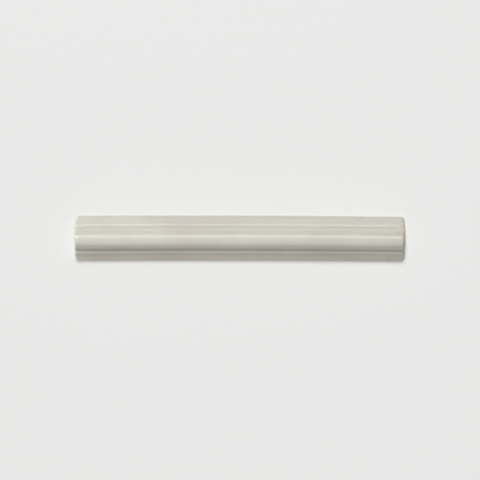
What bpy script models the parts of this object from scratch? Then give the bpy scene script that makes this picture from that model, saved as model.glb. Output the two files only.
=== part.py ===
"""Astragal moulding: a pressed and glazed ceramic trim that is fixed to a wall by its back.

The length runs along X, the height along Z, and the back lies in the plane Y = 0, so the face
looks along -Y. One section runs the whole length, the same above and below its middle: a half
round bead, a cove beside it that ends in a narrow lip, and a hollow splay that falls from the lip
to the thin outer edge.
"""

import math

import bmesh
import bpy

# All sizes are in metres.
LENGTH = 0.200
HEIGHT = 0.027
EDGE_DEPTH = 0.0030

# The section is a chain of arcs that flow into one another, from the crown of the bead outwards.
# A slope is how far the surface there leans from facing straight forward.
BEAD_RADIUS = 0.0067
BEAD_END_SLOPE = math.radians(85)
COVE_RADIUS = 0.0022
COVE_END_SLOPE = math.radians(10)
LIP_RADIUS = 0.0006
LIP_END_SLOPE = math.radians(64)
EDGE_SLOPE = math.radians(38)

# Rounding of the outline and of its edges.
CORNER_RADIUS = 0.0026
ARRIS_WIDTH = 0.0005

# Keys: blind slots in the back that the adhesive fills.
KEYS = 4
KEY_WIDTH = 0.0022
KEY_LAND = 0.0034
KEY_DEPTH = 0.0009
KEY_END_MARGIN = 0.0100

# Segments in each arc.
BEAD_STEPS = 16
COVE_STEPS = 8
LIP_STEPS = 4
SPLAY_STEPS = 5
CORNER_STEPS = 6
KEY_STEPS = 4
ARRIS_STEPS = 3

# Past the surface, for a cutter that has to run clear of it.
CUT_CLEARANCE = 0.002
WELD_DISTANCE = 0.000001
FLAT_ANGLE = math.radians(0.1)

GLAZE_COLOUR = (0.60, 0.58, 0.51, 1.0)
GLAZE_ROUGHNESS = 0.18


def clear_scene():
    for old in list(bpy.data.objects):
        bpy.data.objects.remove(old, do_unlink=True)


def make_collection(name):
    made = bpy.data.collections.new(name)
    bpy.context.scene.collection.children.link(made)
    return made


def arc(centre, radius, start, end, steps):
    """Points on an arc, from one angle in degrees to another, with both ends."""
    points = []
    for step in range(steps + 1):
        angle = math.radians(start + (end - start) * step / steps)
        points.append(
            (
                centre[0] + radius * math.cos(angle),
                centre[1] + radius * math.sin(angle),
            )
        )
    return points


def flow_on(points, radius, slope, end_slope, steps):
    """Adds an arc that leaves the last point at one slope and ends at another.

    The points are (height, depth). The radius is negative where the surface is hollow.
    """
    height, depth = points[-1]
    for step in range(1, steps + 1):
        now = slope + (end_slope - slope) * step / steps
        points.append(
            (
                height + radius * (math.sin(now) - math.sin(slope)),
                depth + radius * (math.cos(now) - math.cos(slope)),
            )
        )


def half_face():
    """The face above the middle as (height, depth), from the bead's crown past the edge."""
    points = [(0.0, 0.0)]
    flow_on(points, BEAD_RADIUS, 0, BEAD_END_SLOPE, BEAD_STEPS)
    flow_on(points, -COVE_RADIUS, BEAD_END_SLOPE, COVE_END_SLOPE, COVE_STEPS)
    flow_on(points, LIP_RADIUS, COVE_END_SLOPE, LIP_END_SLOPE, LIP_STEPS)
    splay_width = HEIGHT / 2 - points[-1][0]
    splay_radius = splay_width / (math.sin(LIP_END_SLOPE) - math.sin(EDGE_SLOPE))
    flow_on(points, -splay_radius, LIP_END_SLOPE, EDGE_SLOPE, SPLAY_STEPS)
    height, depth = points[-1]
    points.append((height + CUT_CLEARANCE, depth - CUT_CLEARANCE * math.tan(EDGE_SLOPE)))
    return [(height, EDGE_DEPTH + far - depth) for height, far in points]


def without_repeats(points):
    """The closed outline without points that stand on the one before them."""
    kept = []
    for point in points:
        if not kept or math.dist(point, kept[-1]) > WELD_DISTANCE:
            kept.append(point)
    if math.dist(kept[0], kept[-1]) <= WELD_DISTANCE:
        kept.pop()
    return kept


def section_outline():
    """The whole section, closed across the back."""
    upper = half_face()
    lower = [(-height, depth) for height, depth in reversed(upper)]
    reach = upper[-1][0]
    back = [(reach, 0), (-reach, 0)]
    return without_repeats(lower + upper + back)


def rounded_rectangle(half_length, half_width, radius, steps):
    """A rectangle with quarter-round corners, closed."""
    x, y = half_length - radius, half_width - radius
    corners = [((x, y), 0), ((-x, y), 90), ((-x, -y), 180), ((x, -y), 270)]
    points = []
    for centre, start in corners:
        points += arc(centre, radius, start, start + 90, steps)
    return without_repeats(points)


def prism(name, outline, half_thickness, place, collection):
    """A closed mesh from a filled flat outline; place turns (u, v, w) into (x, y, z)."""
    curve = bpy.data.curves.new(name + "_outline", "CURVE")
    curve.dimensions = "2D"
    curve.fill_mode = "BOTH"
    curve.extrude = half_thickness
    spline = curve.splines.new("POLY")
    spline.points.add(len(outline) - 1)
    for point, (u, v) in zip(spline.points, outline):
        point.co = (u, v, 0, 1)
    spline.use_cyclic_u = True
    guide = bpy.data.objects.new(name + "_outline", curve)
    collection.objects.link(guide)
    bpy.context.view_layer.update()

    graph = bpy.context.evaluated_depsgraph_get()
    mesh = bpy.data.meshes.new_from_object(guide.evaluated_get(graph))
    bpy.data.objects.remove(guide, do_unlink=True)
    bpy.data.curves.remove(curve)

    shape = bmesh.new()
    shape.from_mesh(mesh)
    bmesh.ops.remove_doubles(shape, verts=shape.verts, dist=WELD_DISTANCE)
    for vertex in shape.verts:
        vertex.co = place(*vertex.co)
    bmesh.ops.recalc_face_normals(shape, faces=shape.faces)
    bmesh.ops.dissolve_limit(
        shape, angle_limit=FLAT_ANGLE, verts=shape.verts, edges=shape.edges
    )
    shape.to_mesh(mesh)
    shape.free()
    mesh.name = name
    made = bpy.data.objects.new(name, mesh)
    collection.objects.link(made)
    return made


def along_length(height, depth, along):
    return (along, -depth, height)


def through_depth(along, height, depth):
    return (along, -depth, height)


def as_cutter(cutter):
    cutter.hide_render = True
    cutter.display_type = "WIRE"
    return cutter


def cut(piece, cutter, operation):
    modifier = piece.modifiers.new(cutter.name, "BOOLEAN")
    modifier.operation = operation
    modifier.solver = "EXACT"
    modifier.object = cutter


def round_edges(piece):
    """Rounds the rim of the face, of the ends and of the back."""
    bevel = piece.modifiers.new("arrises", "BEVEL")
    bevel.width = ARRIS_WIDTH
    bevel.segments = ARRIS_STEPS
    bevel.limit_method = "ANGLE"
    bevel.angle_limit = math.radians(30)
    bevel.use_clamp_overlap = False
    bevel.loop_slide = False


def front_outline(cutters):
    """The outline that the moulding has from the front, with its rounded corners."""
    outline = rounded_rectangle(LENGTH / 2, HEIGHT / 2, CORNER_RADIUS, CORNER_STEPS)
    total_depth = half_face()[0][1]
    half_run = total_depth / 2 + CUT_CLEARANCE

    def place(along, height, depth):
        return through_depth(along, height, depth + total_depth / 2)

    return as_cutter(prism("front_outline", outline, half_run, place, cutters))


def key_slot(number, cutters):
    """One of the slots in the back, with round ends, clear of the ends of the piece."""
    height = (number - (KEYS - 1) / 2) * (KEY_WIDTH + KEY_LAND)
    outline = rounded_rectangle(
        LENGTH / 2 - KEY_END_MARGIN, KEY_WIDTH / 2, KEY_WIDTH / 2, KEY_STEPS
    )
    half_run = (KEY_DEPTH + CUT_CLEARANCE) / 2

    def place(along, up, depth):
        return through_depth(along, up + height, depth + KEY_DEPTH - half_run)

    name = f"key_slot_{number + 1}"
    return as_cutter(prism(name, outline, half_run, place, cutters))


def glaze_material():
    material = bpy.data.materials.new("glazed_ceramic")
    material.use_nodes = True
    shader = material.node_tree.nodes["Principled BSDF"]
    shader.inputs["Base Color"].default_value = GLAZE_COLOUR
    shader.inputs["Roughness"].default_value = GLAZE_ROUGHNESS
    shader.inputs["Metallic"].default_value = 0.0
    return material


def build():
    clear_scene()
    parts = make_collection("astragal_moulding_parts")
    cutters = make_collection("cutters")

    half_run = LENGTH / 2 + CUT_CLEARANCE
    moulding = prism(
        "astragal_moulding", section_outline(), half_run, along_length, parts
    )
    cut(moulding, front_outline(cutters), "INTERSECT")
    round_edges(moulding)
    for number in range(KEYS):
        cut(moulding, key_slot(number, cutters), "DIFFERENCE")
    moulding.data.shade_smooth()
    moulding.data.set_sharp_from_angle(angle=math.radians(40))
    moulding.data.materials.append(glaze_material())


build()
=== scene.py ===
"""Looks of the astragal moulding: its glazed face, its bare back, and a soft studio around it.

The length runs along X, the height along Z, and the back lies in the plane Y = 0, so the face
looks along -Y. In the code a depth is measured out from the back, so a point's Y is its depth
with a minus sign. Sizes are in metres.
"""

import math

import bmesh
import bpy
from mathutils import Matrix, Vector, geometry, noise

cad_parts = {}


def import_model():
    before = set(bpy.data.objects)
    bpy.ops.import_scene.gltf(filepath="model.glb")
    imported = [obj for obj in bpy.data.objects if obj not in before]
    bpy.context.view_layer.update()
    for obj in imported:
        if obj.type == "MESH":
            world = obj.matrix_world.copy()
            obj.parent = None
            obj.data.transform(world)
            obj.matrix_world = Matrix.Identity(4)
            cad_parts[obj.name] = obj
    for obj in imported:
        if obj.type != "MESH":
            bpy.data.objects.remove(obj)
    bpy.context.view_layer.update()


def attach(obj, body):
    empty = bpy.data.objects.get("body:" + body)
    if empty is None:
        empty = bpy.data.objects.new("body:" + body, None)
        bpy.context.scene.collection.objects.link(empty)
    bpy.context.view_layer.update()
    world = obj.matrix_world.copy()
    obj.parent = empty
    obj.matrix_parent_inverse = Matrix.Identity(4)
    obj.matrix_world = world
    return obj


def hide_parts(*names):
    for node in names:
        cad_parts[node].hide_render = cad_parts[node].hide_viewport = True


# The solid's own sizes. A slope is how far the face there leans from facing straight forward.
LENGTH = 0.200
HEIGHT = 0.027
EDGE_DEPTH = 0.0030
BEAD_RADIUS = 0.0067
BEAD_END_SLOPE = math.radians(85)
COVE_RADIUS = 0.0022
COVE_END_SLOPE = math.radians(10)
LIP_RADIUS = 0.0006
LIP_END_SLOPE = math.radians(64)
EDGE_SLOPE = math.radians(38)
CORNER_RADIUS = 0.0026
KEYS = 4
KEY_WIDTH = 0.0022
KEY_LAND = 0.0034
KEY_DEPTH = 0.0009
KEY_END_MARGIN = 0.0100

HALF_LENGTH = LENGTH / 2
HALF_HEIGHT = HEIGHT / 2

# How the pressing and the coat of glaze round the edges.
LONG_ARRIS = 0.0010
END_ROUND_RUN = 0.0019
END_ROUND_DROP = 0.0013
BACK_ARRIS = 0.0004

# The rounded rim of a key slot, and how far its wall and its floor are drawn in.
KEY_RIM = 0.00025
KEY_WALL_INSET = 1.3 * KEY_RIM
KEY_FLOOR_INSET = 2.0 * KEY_RIM

# Towards the ends the glaze fills the coves a little.
POOL_RUN = 0.0055
POOL_RISE = 0.00030
POOL_WIDTH = 0.0008
POOL_FROM_BEAD = 0.0005

# How finely the surface is divided.
BEAD_STEPS = 44
COVE_STEPS = 18
LIP_STEPS = 10
SPLAY_STEPS = 16
LONG_ARRIS_STEPS = 9
SIDE_STEPS = 4
BACK_ARRIS_STEPS = 4
BACK_STEPS = 24
END_ROUND_STEPS = 12
NEAR_END_STATIONS = 12
RUN_STEPS = 190
KEY_RIM_STEPS = 4
KEY_END_STEPS = 10
KEY_SIDE_STEPS = 60
FILL_SPACING = 0.0011

# For the triangulation: all triangles are asked for, and points this close count as one.
WHOLE_HULL = 0
FILL_TOLERANCE = 1e-9

# How the firing bent and softened the piece. The middle stands high by its share of the bow,
# and the ends stand low by the rest. A wave is given by its length and its rise.
FIRING_BOW = 0.00045
BOW_AT_MIDDLE = 0.5
LONG_WAVE = 0.045
LONG_WAVE_RISE = 0.00004
LONG_WAVE_SCALE_ALONG = 0.8
SHORT_WAVE = 0.009
SHORT_WAVE_RISE = 0.000008

# Where the glaze ends on the edges, measured from the back. Its colour sets in over the first
# band, and its thickness over the second.
GLAZE_END = 0.0009
GLAZE_END_WANDER = 0.0004
GLAZE_COLOUR_BAND = (GLAZE_END - 0.0001, GLAZE_END + 0.0001)
GLAZE_THICKNESS_BAND = (GLAZE_END - 0.0002, GLAZE_END + 0.0006)

# The part of the back that holds the key slots, which stay bare to their floors.
BARE_HALF_LENGTH = 0.095
BARE_HALF_HEIGHT = 0.011
BARE_DEPTH = 0.0015

# The photograph's frame, in its own pixels.
FRAME_PIXELS = 480
OBJECT_LENGTH_PIXELS = 329.2
OBJECT_CENTRE_PIXEL = (240.4, 238.35)

# The camera looks down by its pitch and is turned by its roll. The sensor is in millimetres.
CAMERA_DISTANCE = 4.0
CAMERA_PITCH = math.radians(1.8)
CAMERA_ROLL = math.radians(-0.15)
CAMERA_CLIP_END = 50
SENSOR_WIDTH = 36.0


def arc(centre, radius, start, end, steps):
    """Points on an arc, from one angle in degrees to another, without the last."""
    points = []
    for step in range(steps):
        angle = math.radians(start + (end - start) * step / steps)
        points.append(
            (
                centre[0] + radius * math.cos(angle),
                centre[1] + radius * math.sin(angle),
            )
        )
    return points


def line(start, end, steps):
    """Points on a straight line, without the last."""
    points = []
    for step in range(steps):
        share = step / steps
        points.append(
            (
                start[0] + (end[0] - start[0]) * share,
                start[1] + (end[1] - start[1]) * share,
            )
        )
    return points


def flow_on(points, radius, slope, end_slope, steps):
    """Adds an arc that leaves the last point at one slope and ends at another.

    The points are (height, depth). The radius is negative where the surface is hollow.
    """
    height, depth = points[-1]
    for step in range(1, steps + 1):
        now = slope + (end_slope - slope) * step / steps
        points.append(
            (
                height + radius * (math.sin(now) - math.sin(slope)),
                depth + radius * (math.cos(now) - math.cos(slope)),
            )
        )


def half_face():
    """The face above the middle, from the bead's crown to where the edge stands square."""
    points = [(0.0, 0.0)]
    flow_on(points, BEAD_RADIUS, 0, BEAD_END_SLOPE, BEAD_STEPS)
    flow_on(points, -COVE_RADIUS, BEAD_END_SLOPE, COVE_END_SLOPE, COVE_STEPS)
    flow_on(points, LIP_RADIUS, COVE_END_SLOPE, LIP_END_SLOPE, LIP_STEPS)
    lip_height, lip_depth = points[-1]
    lip_sine = math.sin(LIP_END_SLOPE)
    edge_sine = math.sin(EDGE_SLOPE)
    splay_radius = (HALF_HEIGHT - lip_height) / (lip_sine - edge_sine)
    splay_fall = splay_radius * (math.cos(EDGE_SLOPE) - math.cos(LIP_END_SLOPE))
    arris_sine = (LONG_ARRIS + splay_radius * edge_sine) / (splay_radius + LONG_ARRIS)
    arris_slope = math.asin(arris_sine)
    flow_on(points, -splay_radius, LIP_END_SLOPE, arris_slope, SPLAY_STEPS)
    flow_on(points, LONG_ARRIS, arris_slope, math.pi / 2, LONG_ARRIS_STEPS)
    crown = EDGE_DEPTH + splay_fall - lip_depth
    return [(height, crown + depth) for height, depth in points]


def pooled(face, share):
    """The face with its cove partly filled."""
    middle = BEAD_RADIUS + POOL_FROM_BEAD
    filled = []
    for height, depth in face:
        off = (height - middle) / POOL_WIDTH
        filled.append((height, depth + share * POOL_RISE * math.exp(-off * off)))
    return filled


def half_section(face, drop, rise):
    """The section above the middle, from the bead's crown to the back.

    The face is let down by the drop and the back is drawn in by the rise, as they are at the
    rounded ends.
    """
    points = [(height, depth - drop) for height, depth in face]
    shoulder = points.pop()
    heel = (HALF_HEIGHT - BACK_ARRIS, BACK_ARRIS + rise)
    points += line(shoulder, (HALF_HEIGHT, heel[1]), SIDE_STEPS)
    points += arc(heel, BACK_ARRIS, 0, -90, BACK_ARRIS_STEPS)
    points.append((heel[0], rise))
    return points


def whole_section(face, drop, rise):
    """From the lower back edge, over the face, to the upper back edge."""
    upper = half_section(face, drop, rise)
    lower = [(-height, depth) for height, depth in reversed(upper[1:])]
    return lower + upper


def back_line(rise):
    """Across the back, from the upper back edge to the lower, without either end."""
    reach = HALF_HEIGHT - BACK_ARRIS
    return line((reach, rise), (-reach, rise), BACK_STEPS)[1:]


def stations():
    """(place along the length, drop, rise) of each section, from the left end to the right."""
    left = []
    for step in range(END_ROUND_STEPS + 1):
        angle = math.pi / 2 * (1 - step / END_ROUND_STEPS)
        from_end = END_ROUND_RUN * (1 - math.sin(angle))
        drop = END_ROUND_DROP * (1 - math.cos(angle))
        left.append((from_end - HALF_LENGTH, drop, back_rise(from_end)))
    inner = HALF_LENGTH - 2 * CORNER_RADIUS
    outer = HALF_LENGTH - END_ROUND_RUN
    for step in range(1, NEAR_END_STATIONS + 1):
        along = outer + (inner - outer) * step / NEAR_END_STATIONS
        left.append((-along, 0.0, 0.0))
    middle = []
    for step in range(1, RUN_STEPS):
        middle.append((-inner + 2 * inner * step / RUN_STEPS, 0.0, 0.0))
    right = [(-along, drop, rise) for along, drop, rise in reversed(left)]
    return left + middle + right


def back_rise(from_end):
    """How far the back is drawn in at its rounded end."""
    short = max(0.0, BACK_ARRIS - from_end)
    return BACK_ARRIS - math.sqrt(BACK_ARRIS**2 - short**2)


def into_corner(along, height):
    """Moves a point of the square corner into the rounded one, seen from the front."""
    u = abs(along) - (HALF_LENGTH - CORNER_RADIUS)
    v = abs(height) - (HALF_HEIGHT - CORNER_RADIUS)
    if u <= 0 or v <= 0:
        return along, height
    square = 2 * CORNER_RADIUS**2
    new_u = u * math.sqrt(1 - v * v / square)
    new_v = v * math.sqrt(1 - u * u / square)
    return (
        math.copysign(abs(along) - u + new_u, along),
        math.copysign(abs(height) - v + new_v, height),
    )


def add_point(shape, along, height, depth):
    along, height = into_corner(along, height)
    return shape.verts.new((along, -depth, height))


def add_strip(shape, first, second, closed=False):
    """Quads between two rows of points."""
    count = len(first)
    for i in range(count if closed else count - 1):
        j = (i + 1) % count
        shape.faces.new((first[i], first[j], second[j], second[i]))


def inside(point, loop):
    """True if a flat point is inside a closed loop of flat points."""
    x, y = point
    found = False
    for (x1, y1), (x2, y2) in zip(loop, loop[1:] + loop[:1]):
        if (y1 > y) != (y2 > y) and x < (x2 - x1) * (y - y1) / (y2 - y1) + x1:
            found = not found
    return found


def clear_of(point, loop, gap):
    """True if a flat point is at least that far from each point of a loop."""
    return all(math.dist(point, other) >= gap for other in loop)


def in_region(point, flat_loops):
    """True if a flat point is inside the first loop and outside the others."""
    if not inside(point, flat_loops[0]):
        return False
    return not any(inside(point, hole) for hole in flat_loops[1:])


def grid_inside(flat_loops):
    """Points on a grid inside the first loop, outside the others and clear of all."""
    outer = flat_loops[0]
    low = [min(point[axis] for point in outer) for axis in (0, 1)]
    high = [max(point[axis] for point in outer) for axis in (0, 1)]
    counts = [int((high[axis] - low[axis]) / FILL_SPACING) for axis in (0, 1)]
    kept = []
    for i in range(1, counts[0]):
        for j in range(1, counts[1]):
            point = (low[0] + i * FILL_SPACING, low[1] + j * FILL_SPACING)
            if not in_region(point, flat_loops):
                continue
            if all(clear_of(point, loop, FILL_SPACING / 2) for loop in flat_loops):
                kept.append(point)
    return kept


def fill(shape, outer, holes, flatten, lift):
    """Fills a flat region with small triangles, between loops of points that exist.

    flatten turns a place into a flat point, and lift turns a flat point into a place.
    """
    corners, flat_loops, edges = [], [], []
    for loop in [outer] + holes:
        first, count = len(corners), len(loop)
        edges += [(first + i, first + (i + 1) % count) for i in range(count)]
        flat_loops.append([flatten(point.co) for point in loop])
        corners += loop

    flat = [point for loop in flat_loops for point in loop]
    points = [Vector(point) for point in flat + grid_inside(flat_loops)]
    found = geometry.delaunay_2d_cdt(points, edges, [], WHOLE_HULL, FILL_TOLERANCE)
    places, triangles, sources = found[0], found[2], found[3]
    made = []
    for place, source in zip(places, sources):
        known = [i for i in source if i < len(corners)]
        made.append(corners[known[0]] if known else shape.verts.new(lift(place)))
    for triangle in triangles:
        middle = sum((places[i] for i in triangle), Vector((0, 0))) / len(triangle)
        if in_region(middle, flat_loops):
            shape.faces.new([made[i] for i in triangle])


def key_outline(number, inset):
    """The outline of one key slot as (along, height), drawn in by an inset."""
    height = (number - (KEYS - 1) / 2) * (KEY_WIDTH + KEY_LAND)
    radius = KEY_WIDTH / 2 - inset
    reach = HALF_LENGTH - KEY_END_MARGIN - KEY_WIDTH / 2
    upper, lower = height + radius, height - radius
    points = arc((reach, height), radius, -90, 90, KEY_END_STEPS)
    points += line((reach, upper), (-reach, upper), KEY_SIDE_STEPS)
    points += arc((-reach, height), radius, 90, 270, KEY_END_STEPS)
    points += line((-reach, lower), (reach, lower), KEY_SIDE_STEPS)
    return points


def key_levels():
    """(inset, depth) of each loop of points in a key slot, from its mouth to its floor."""
    levels = [(0.0, 0.0)]
    for step in range(1, KEY_RIM_STEPS + 1):
        angle = math.pi / 2 * step / KEY_RIM_STEPS
        levels.append((KEY_RIM * math.sin(angle), KEY_RIM * (1 - math.cos(angle))))
    levels.append((KEY_WALL_INSET, KEY_DEPTH - KEY_RIM))
    levels.append((KEY_FLOOR_INSET, KEY_DEPTH))
    return levels


def add_key(shape, number):
    """One key slot, with a softened rim. Returns the loop of points in the back's plane."""
    rows = []
    for inset, depth in key_levels():
        outline = key_outline(number, inset)
        rows.append([shape.verts.new((x, -depth, z)) for x, z in outline])
    for first, second in zip(rows, rows[1:]):
        add_strip(shape, first, second, closed=True)
    shape.faces.new(rows[-1])
    return rows[0]


def add_face(shape, places):
    """The skin over the face and the edges. Returns the row of points at each station."""
    face = half_face()
    rows = []
    for along, drop, rise in places:
        share = max(0.0, 1 - (HALF_LENGTH - abs(along)) / POOL_RUN) ** 2
        section = whole_section(pooled(face, share), drop, rise)
        rows.append([add_point(shape, along, height, depth) for height, depth in section])
    for first, second in zip(rows, rows[1:]):
        add_strip(shape, first, second)
    return rows


def add_rounded_back(shape, rows, places):
    """The end, and the back as far as it is drawn in there, from the end inwards.

    Returns the innermost row of points across the back.
    """
    backs = []
    for row, (along, _, rise) in zip(rows, places):
        across = [add_point(shape, along, height, depth) for height, depth in back_line(rise)]
        backs.append([row[-1]] + across + [row[0]])
    for first, second in zip(backs, backs[1:]):
        add_strip(shape, first, second)
    add_end(shape, rows[0], backs[0])
    return backs[-1]


def add_end(shape, row, back):
    along = row[0].co.x
    fill(
        shape,
        row + back[1:-1],
        [],
        lambda co: (co.z, -co.y),
        lambda flat: (along, -flat[1], flat[0]),
    )


def add_flat_back(shape, rows, left_back, right_back):
    """The flat of the back, between the rounded ends, with the key slots in it."""
    upper = [row[-1] for row in rows]
    lower = [row[0] for row in reversed(rows)]
    across_right = right_back[1:-1]
    across_left = left_back[-2:0:-1]
    keys = [add_key(shape, number) for number in range(KEYS)]
    fill(
        shape,
        upper + across_right + lower + across_left,
        keys,
        lambda co: (co.x, co.z),
        lambda flat: (flat[0], 0.0, flat[1]),
    )


def add_body(shape):
    places = stations()
    rows = add_face(shape, places)
    left = END_ROUND_STEPS
    right = len(places) - 1 - END_ROUND_STEPS
    left_back = add_rounded_back(shape, rows[: left + 1], places[: left + 1])
    right_back = add_rounded_back(shape, rows[right:][::-1], places[right:][::-1])
    add_flat_back(shape, rows[left : right + 1], left_back, right_back)


def soften(mesh):
    """The slow waves of a glazed surface, and the slight bow that the firing left."""
    normals = [vertex.normal.copy() for vertex in mesh.vertices]
    for vertex, normal in zip(mesh.vertices, normals):
        place = vertex.co.copy()
        glazed = min(1.0, max(0.0, -place.y / GLAZE_END))
        long_place = Vector((place.x * LONG_WAVE_SCALE_ALONG, place.y, place.z))
        rise = LONG_WAVE_RISE * noise.noise(long_place / LONG_WAVE)
        rise += SHORT_WAVE_RISE * noise.noise(place / SHORT_WAVE)
        vertex.co = place + normal * rise * glazed
        share = place.x / HALF_LENGTH
        vertex.co.z += FIRING_BOW * (BOW_AT_MIDDLE - share * share)


def make_moulding():
    shape = bmesh.new()
    add_body(shape)
    bmesh.ops.recalc_face_normals(shape, faces=shape.faces)
    mesh = bpy.data.meshes.new("glazed_moulding")
    shape.to_mesh(mesh)
    shape.free()
    soften(mesh)
    mesh.shade_smooth()
    made = bpy.data.objects.new("glazed_moulding", mesh)
    bpy.context.collection.objects.link(made)
    return made


# The colour inputs and the colour output of a mix node, by their numbers.
MIX_INPUTS = (6, 7)
MIX_OUTPUT = 2


class Nodes:
    """Adds nodes to a material and joins them."""

    def __init__(self, name):
        self.material = bpy.data.materials.new(name)
        self.material.use_nodes = True
        self.tree = self.material.node_tree
        self.shader = self.tree.nodes["Principled BSDF"]

    def add(self, kind, **settings):
        node = self.tree.nodes.new(kind)
        for name, value in settings.items():
            setattr(node, name, value)
        return node

    def join(self, source, target):
        self.tree.links.new(source, target)

    def noise(self, place, scale, detail, roughness):
        node = self.add("ShaderNodeTexNoise")
        node.inputs["Scale"].default_value = scale
        node.inputs["Detail"].default_value = detail
        node.inputs["Roughness"].default_value = roughness
        self.join(place, node.inputs["Vector"])
        return node.outputs["Fac"]

    def math(self, operation, first, second=None):
        node = self.add("ShaderNodeMath", operation=operation)
        for socket, value in zip(node.inputs, (first, second)):
            if value is None:
                continue
            if isinstance(value, (int, float)):
                socket.default_value = value
            else:
                self.join(value, socket)
        return node.outputs["Value"]

    def within(self, value, reach):
        """One where the value is nearer to zero than the reach, and zero elsewhere."""
        return self.math("LESS_THAN", self.math("ABSOLUTE", value), reach)

    def spread(self, value, band, result=(0.0, 1.0)):
        """Turns a band of values smoothly into the result's range, and holds it outside."""
        node = self.add("ShaderNodeMapRange", interpolation_type="SMOOTHSTEP")
        names = ("From Min", "From Max", "To Min", "To Max")
        for name, number in zip(names, band + result):
            node.inputs[name].default_value = number
        self.join(value, node.inputs["Value"])
        return node.outputs["Result"]

    def mix(self, share, first, second):
        node = self.add("ShaderNodeMix", data_type="RGBA")
        for number, value in zip(MIX_INPUTS, (first, second)):
            if isinstance(value, tuple):
                node.inputs[number].default_value = value
            else:
                self.join(value, node.inputs[number])
        self.join(share, node.inputs["Factor"])
        return node.outputs[MIX_OUTPUT]

    def bump(self, height, distance, strength, before=None):
        node = self.add("ShaderNodeBump")
        node.inputs["Strength"].default_value = strength
        node.inputs["Distance"].default_value = distance
        self.join(height, node.inputs["Height"])
        if before is not None:
            self.join(before, node.inputs["Normal"])
        return node.outputs["Normal"]


# The colours of the glaze, and of the bare clay under it.
GLAZE = (0.60, 0.58, 0.515, 1.0)
GLAZE_PALE = (0.64, 0.62, 0.555, 1.0)
GLAZE_WARM = (0.605, 0.575, 0.52, 1.0)
GLAZE_DEEP = (0.54, 0.52, 0.455, 1.0)
BISCUIT = (0.66, 0.57, 0.46, 1.0)
BISCUIT_DARK = (0.50, 0.42, 0.33, 1.0)

# Noise in the material, as its scale in waves a metre, its detail and its roughness. The band
# beside it is the range of the noise over which its effect sets in.
LINE_NOISE = (55.0, 3.0, 0.5)
TINT_NOISE = (24.0, 2.0, 0.5)
TINT_BAND = (0.4, 0.6)
CLOUD_NOISE = (38.0, 3.0, 0.5)
CLOUD_BAND = (0.35, 0.65)
STREAK_NOISE = (420.0, 2.0, 0.5)
STREAK_BAND = (0.52, 0.80)
STREAK_RANGE = (0.0, 0.45)
STREAK_STRETCH = (0.06, 1.0, 1.0)
GRAIN_NOISE = (900.0, 4.0, 0.65)
GRAIN_BAND = (0.35, 0.7)
SHEEN_NOISE = (120.0, 3.0, 0.5)
SHEEN_BAND = (0.3, 0.7)
PEEL_NOISE = (260.0, 2.0, 0.5)

# The gloss of the glaze, and how much rougher the bare clay is.
GLAZE_ROUGHNESS = (0.17, 0.22)
BARE_ROUGHER_BY = 0.75
GLAZE_IOR = 1.52

# Fine relief, as its height and its strength.
PEEL_BUMP = (0.00006, 0.5)
SAND_BUMP = (0.00025, 0.8)
GLAZE_BUMP = (0.00018, 1.0)


def glaze_depth(nodes, place):
    """The depth from the back, changed so that one value of it is where the glaze ends."""
    apart = nodes.add("ShaderNodeSeparateXYZ")
    nodes.join(place, apart.inputs["Vector"])
    depth = nodes.math("MULTIPLY", apart.outputs["Y"], -1.0)

    wander = nodes.noise(place, *LINE_NOISE)
    wander = nodes.math("MULTIPLY", nodes.math("SUBTRACT", wander, 0.5), 2.0)
    wander = nodes.math("MULTIPLY", wander, GLAZE_END_WANDER)
    near_length = nodes.within(apart.outputs["X"], BARE_HALF_LENGTH)
    near_height = nodes.within(apart.outputs["Z"], BARE_HALF_HEIGHT)
    slots = nodes.math("MULTIPLY", near_length, near_height)
    bare = nodes.math("MULTIPLY", slots, BARE_DEPTH)
    return nodes.math("SUBTRACT", nodes.math("SUBTRACT", depth, wander), bare)


def glaze_colour(nodes, place):
    """Clouds of warmer and paler glaze, with streaks of a deeper one along the length."""
    tint = nodes.spread(nodes.noise(place, *TINT_NOISE), TINT_BAND)
    clouds = nodes.spread(nodes.noise(place, *CLOUD_NOISE), CLOUD_BAND)
    glaze = nodes.mix(tint, GLAZE_WARM, GLAZE)
    glaze = nodes.mix(clouds, glaze, GLAZE_PALE)

    along = nodes.add("ShaderNodeMapping")
    along.inputs["Scale"].default_value = STREAK_STRETCH
    nodes.join(place, along.inputs["Vector"])
    streaks = nodes.noise(along.outputs["Vector"], *STREAK_NOISE)
    deep = nodes.spread(streaks, STREAK_BAND, STREAK_RANGE)
    return nodes.mix(deep, glaze, GLAZE_DEEP)


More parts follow.
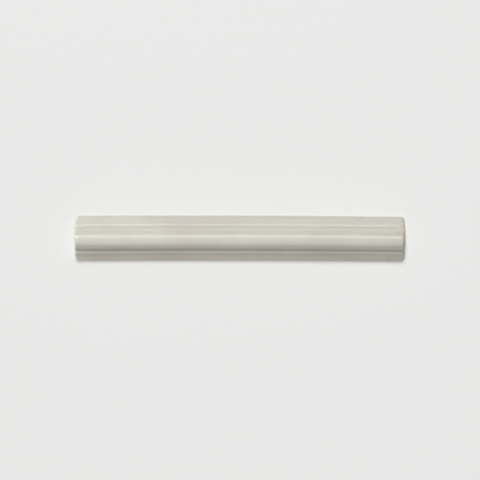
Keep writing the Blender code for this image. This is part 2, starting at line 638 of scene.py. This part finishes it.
def moulding_material():
    """Glaze over the face, the edges and the ends, and bare clay on the back."""
    nodes = Nodes("glazed_ceramic")
    place = nodes.add("ShaderNodeTexCoord").outputs["Object"]
    depth = glaze_depth(nodes, place)
    glazed = nodes.spread(depth, GLAZE_COLOUR_BAND)
    thickness = nodes.spread(depth, GLAZE_THICKNESS_BAND)
    bare = nodes.math("SUBTRACT", 1.0, glazed)
    grain = nodes.noise(place, *GRAIN_NOISE)

    biscuit = nodes.mix(nodes.spread(grain, GRAIN_BAND), BISCUIT, BISCUIT_DARK)
    colour = nodes.mix(glazed, biscuit, glaze_colour(nodes, place))
    nodes.join(colour, nodes.shader.inputs["Base Color"])

    sheen = nodes.spread(nodes.noise(place, *SHEEN_NOISE), SHEEN_BAND, GLAZE_ROUGHNESS)
    rougher = nodes.math("MULTIPLY", bare, BARE_ROUGHER_BY)
    nodes.join(nodes.math("ADD", rougher, sheen), nodes.shader.inputs["Roughness"])
    nodes.shader.inputs["IOR"].default_value = GLAZE_IOR

    peel = nodes.math("MULTIPLY", nodes.noise(place, *PEEL_NOISE), glazed)
    sand = nodes.math("MULTIPLY", grain, bare)
    normal = nodes.bump(peel, *PEEL_BUMP)
    normal = nodes.bump(sand, *SAND_BUMP, before=normal)
    normal = nodes.bump(thickness, *GLAZE_BUMP, before=normal)
    nodes.join(normal, nodes.shader.inputs["Normal"])
    return nodes.material


# Light, as radiance where a white card in full light shows as 1. Each panel faces the moulding
# and is given by the angles that it spans from there: azimuth from straight in front, negative to
# the left, and elevation above the horizon.
KEY = {"azimuth": (-25, 25), "elevation": (11.0, 37.0), "radiance": 3.65}
SIDE_KEY = {"azimuth": (-72, -25), "elevation": (22.5, 38), "radiance": 12.6}
LOW_FILL = {"azimuth": (-72, 25), "elevation": (-67, 10), "radiance": 0.95}
BACK_LIGHT = {"azimuth": (-30, 30), "elevation": (0, 45), "radiance": 2.5}
WALL_TOP_LIGHT = {"azimuth": (-6, 1), "elevation": (6, 38), "radiance": 78.0}
WALL_FRONT_LIGHT = {"azimuth": (-3, 3), "elevation": (-3, 3), "radiance": 420.0}
LIGHT_COLOUR = (1.0, 1.0, 0.985)
PANEL_DISTANCE = 1.5
FAR_PANEL_DISTANCE = 6.0

# The world lights nothing, and the camera sees it as a pale backdrop.
WORLD_LIGHT = 0.0
BACKDROP = 0.83
BACKDROP_COLOUR = (1.0, 1.0, 1.0, 1.0)

# The floor below the piece and the wall close behind it.
FLOOR_SIZE = (8, 8)
FLOOR_BELOW = 0.45
FLOOR_COLOUR = (0.80, 0.80, 0.79, 1.0)
FLOOR_GLOW = 0.35
GLOW_COLOUR = (1.0, 1.0, 1.0, 1.0)
WALL_SIZE = (2.4, 0.9)
WALL_BEHIND = 0.0004
WALL_COLOUR = (0.26, 0.26, 0.262, 1.0)
STAGE_ROUGHNESS = 0.9


def panel(name, azimuth, elevation, radiance, distance=PANEL_DISTANCE, side=-1):
    """A flat rectangular light. It stands in front of the wall, or behind it where side is 1."""
    left, right = [distance * math.tan(math.radians(angle)) for angle in azimuth]
    width = right - left
    middle = (left + right) / 2
    tilt = math.radians(sum(elevation) / 2)
    half_height = math.radians((elevation[1] - elevation[0]) / 2)
    height = 2 * distance * math.tan(half_height)
    light = bpy.data.lights.new(name, "AREA")
    light.shape = "RECTANGLE"
    light.size = width
    light.size_y = height
    light.energy = math.pi * radiance * width * height
    light.color = LIGHT_COLOUR
    made = bpy.data.objects.new(name, light)
    made.location = (middle, side * distance * math.cos(tilt), distance * math.sin(tilt))
    aim = Vector((middle, 0, 0)) - made.location
    made.rotation_euler = aim.to_track_quat("-Z", "Y").to_euler()
    made.visible_camera = False
    bpy.context.collection.objects.link(made)
    return made


def light_group(name, thing, state):
    """What a light reaches: that thing alone, or with EXCLUDE all but that thing."""
    group = bpy.data.collections.new(name)
    group.objects.link(thing)
    group.collection_objects[0].light_linking.link_state = state
    return group


def make_lights(wall):
    """The panels light all but the wall, which has lights of its own that cast short shadows."""
    all_but_wall = light_group("all_but_wall", wall, "EXCLUDE")
    wall_alone = light_group("wall_alone", wall, "INCLUDE")
    for name, reach in (("key", KEY), ("side_key", SIDE_KEY), ("low_fill", LOW_FILL)):
        panel(name, **reach).light_linking.receiver_collection = all_but_wall
    for name, reach in (("wall_top", WALL_TOP_LIGHT), ("wall_front", WALL_FRONT_LIGHT)):
        far = panel(name, **reach, distance=FAR_PANEL_DISTANCE)
        far.light_linking.receiver_collection = wall_alone
    behind = panel("back_light", **BACK_LIGHT, side=1)
    behind.light_linking.receiver_collection = all_but_wall


def make_world():
    """A world that lights nothing, which the camera sees as a pale backdrop."""
    world = bpy.data.worlds.new("studio")
    bpy.context.scene.world = world
    world.use_nodes = True
    tree = world.node_tree
    background = tree.nodes["Background"]
    background.inputs["Color"].default_value = BACKDROP_COLOUR
    path = tree.nodes.new("ShaderNodeLightPath")
    strength = tree.nodes.new("ShaderNodeMix")
    strength.inputs["A"].default_value = WORLD_LIGHT
    strength.inputs["B"].default_value = BACKDROP
    tree.links.new(path.outputs["Is Camera Ray"], strength.inputs["Factor"])
    tree.links.new(strength.outputs["Result"], background.inputs["Strength"])


def make_plane(name, size, place, turn, colour):
    """A plain rectangle for the stage."""
    x, y = size[0] / 2, size[1] / 2
    mesh = bpy.data.meshes.new(name)
    corners = [(-x, -y, 0), (x, -y, 0), (x, y, 0), (-x, y, 0)]
    mesh.from_pydata(corners, [], [(0, 1, 2, 3)])
    made = bpy.data.objects.new(name, mesh)
    made.location = place
    made.rotation_euler = turn
    bpy.context.collection.objects.link(made)
    material = bpy.data.materials.new(name)
    material.use_nodes = True
    shader = material.node_tree.nodes["Principled BSDF"]
    shader.inputs["Base Color"].default_value = colour
    shader.inputs["Roughness"].default_value = STAGE_ROUGHNESS
    mesh.materials.append(material)
    return made


def make_floor():
    """A pale floor that glows a little and throws no light on the piece."""
    floor = make_plane("floor", FLOOR_SIZE, (0, 0, -FLOOR_BELOW), (0, 0, 0), FLOOR_COLOUR)
    floor.visible_diffuse = False
    floor.visible_glossy = False
    shader = floor.active_material.node_tree.nodes["Principled BSDF"]
    shader.inputs["Emission Color"].default_value = GLOW_COLOUR
    shader.inputs["Emission Strength"].default_value = FLOOR_GLOW


def make_wall():
    """A wall that shows from its front alone, so that the back of the piece can be seen."""
    upright = (math.pi / 2, 0, 0)
    wall = make_plane("wall", WALL_SIZE, (0, WALL_BEHIND, 0), upright, WALL_COLOUR)
    wall.visible_shadow = False
    tree = wall.active_material.node_tree
    facing = tree.nodes.new("ShaderNodeNewGeometry")
    clear = tree.nodes.new("ShaderNodeBsdfTransparent")
    one_sided = tree.nodes.new("ShaderNodeMixShader")
    share, front, behind = one_sided.inputs
    tree.links.new(facing.outputs["Backfacing"], share)
    tree.links.new(tree.nodes["Principled BSDF"].outputs["BSDF"], front)
    tree.links.new(clear.outputs["BSDF"], behind)
    tree.links.new(one_sided.outputs["Shader"], tree.nodes["Material Output"].inputs["Surface"])
    return wall


def make_camera():
    """A long lens in front of the piece, which frames it as the photograph does."""
    camera = bpy.data.cameras.new("camera")
    camera.sensor_width = SENSOR_WIDTH
    metres_per_pixel = LENGTH / OBJECT_LENGTH_PIXELS
    camera.lens = SENSOR_WIDTH * CAMERA_DISTANCE / (metres_per_pixel * FRAME_PIXELS)
    camera.clip_end = CAMERA_CLIP_END
    made = bpy.data.objects.new("camera", camera)
    middle = FRAME_PIXELS / 2
    right = (middle - OBJECT_CENTRE_PIXEL[0]) * metres_per_pixel
    up = (OBJECT_CENTRE_PIXEL[1] - middle) * metres_per_pixel
    back = CAMERA_DISTANCE * math.cos(CAMERA_PITCH) + EDGE_DEPTH
    up += CAMERA_DISTANCE * math.sin(CAMERA_PITCH)
    made.location = (right, -back, up)
    made.rotation_euler = (math.pi / 2 - CAMERA_PITCH, CAMERA_ROLL, 0)
    bpy.context.collection.objects.link(made)
    bpy.context.scene.camera = made


def main():
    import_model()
    moulding = make_moulding()
    moulding.data.materials.append(moulding_material())
    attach(moulding, "root")
    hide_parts("astragal_moulding")
    make_floor()
    make_lights(make_wall())
    make_world()
    make_camera()
    bpy.context.scene.view_settings.view_transform = "Standard"


main()
